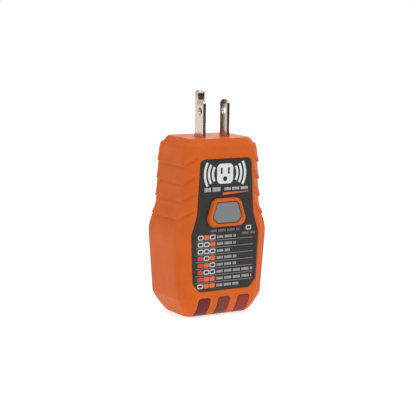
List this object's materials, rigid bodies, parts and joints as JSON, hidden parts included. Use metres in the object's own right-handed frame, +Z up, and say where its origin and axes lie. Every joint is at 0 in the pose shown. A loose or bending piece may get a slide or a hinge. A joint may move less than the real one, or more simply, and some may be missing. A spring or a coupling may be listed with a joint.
{
  "type": "outlet tester plug",
  "caption": "Handheld receptacle tester with a grounded plug on top, a push test button, a printed legend panel and indicator lenses across its lower end.",
  "frame": {"origin": "under the middle of the housing, on the surface its lower end stands on", "axes": "+Z up along the prongs, +X to the right and -Y towards the person reading the label"},
  "size_m": [0.0494, 0.033, 0.1033],
  "materials": {
    "orange_housing": "moulded orange ABS, fine satin texture",
    "label_film": "dark charcoal printed polycarbonate film",
    "rating_film": "light grey printed film, left blank",
    "grey_button": "mid grey moulded plastic, satin",
    "red_lens": "dark red tinted polycarbonate, glossy",
    "amber_lens": "brown amber tinted polycarbonate, glossy",
    "nickel_plate": "nickel plated brass, lightly brushed",
    "zinc_steel": "zinc plated steel",
    "black_plastic": "black moulded plastic",
    "white_plastic": "natural white plastic",
    "board_laminate": "green solder mask over glass laminate",
    "red_led_resin": "red tinted epoxy",
    "amber_led_resin": "amber tinted epoxy",
    "red_coating": "dipped epoxy coating",
    "blue_coating": "dipped epoxy coating or printed sleeve",
    "white_insulation": "PVC wire insulation",
    "black_insulation": "PVC wire insulation",
    "green_insulation": "PVC wire insulation"
  },
  "bodies": {
    "housing": {"front_shell": "orange_housing", "rear_cover": "orange_housing", "faceplate_label": "label_film", "rating_label": "rating_film", "red_lens": "red_lens", "amber_lens_middle": "amber_lens", "amber_lens_right": "amber_lens", "line_blade": "nickel_plate", "neutral_blade": "nickel_plate", "ground_pin": "nickel_plate", "prong_carrier": "black_plastic", "prong_retainer": "black_plastic", "circuit_board": "board_laminate", "red_led": "red_led_resin", "amber_led_middle": "amber_led_resin", "amber_led_right": "amber_led_resin", "light_baffle": "white_plastic", "switch_base": "black_plastic", "switch_cover": "zinc_steel", "switch_spring": "zinc_steel", "neutral_wire": "white_insulation", "line_wire": "black_insulation", "ground_wire": "green_insulation", "film_capacitor": "red_coating", "rectifier": "black_plastic", "transmitter_transistor": "black_plastic", "controller_chip": "black_plastic", "electrolytic_capacitor": "blue_coating", "varistor": "blue_coating", "power_resistor_1": "blue_coating", "power_resistor_2": "blue_coating", "fuse": "white_plastic", "housing_screw_1": "zinc_steel", "housing_screw_2": "zinc_steel", "housing_screw_3": "zinc_steel", "housing_screw_4": "zinc_steel", "board_screw_1": "zinc_steel", "board_screw_2": "zinc_steel", "board_screw_3": "zinc_steel"},
    "button": {"test_button": "grey_button"},
    "plunger": {"switch_plunger": "white_plastic"}
  },
  "joints": [
    {"name": "button_press", "type": "slide", "parent": "housing", "child": "button", "axis": [0, 1, 0], "range_m": [0, 0.0015], "stiffness_N_per_m": 700, "springref_m": -0.0006},
    {"name": "plunger_slide", "type": "slide", "parent": "housing", "child": "plunger", "axis": [0, 1, 0], "range_m": [0, 0.0015], "deforming": ["switch_spring"]}
  ],
  "couplings": [
    {"joint": "plunger_slide", "follows": "button_press", "ratio": 1}
  ]
}
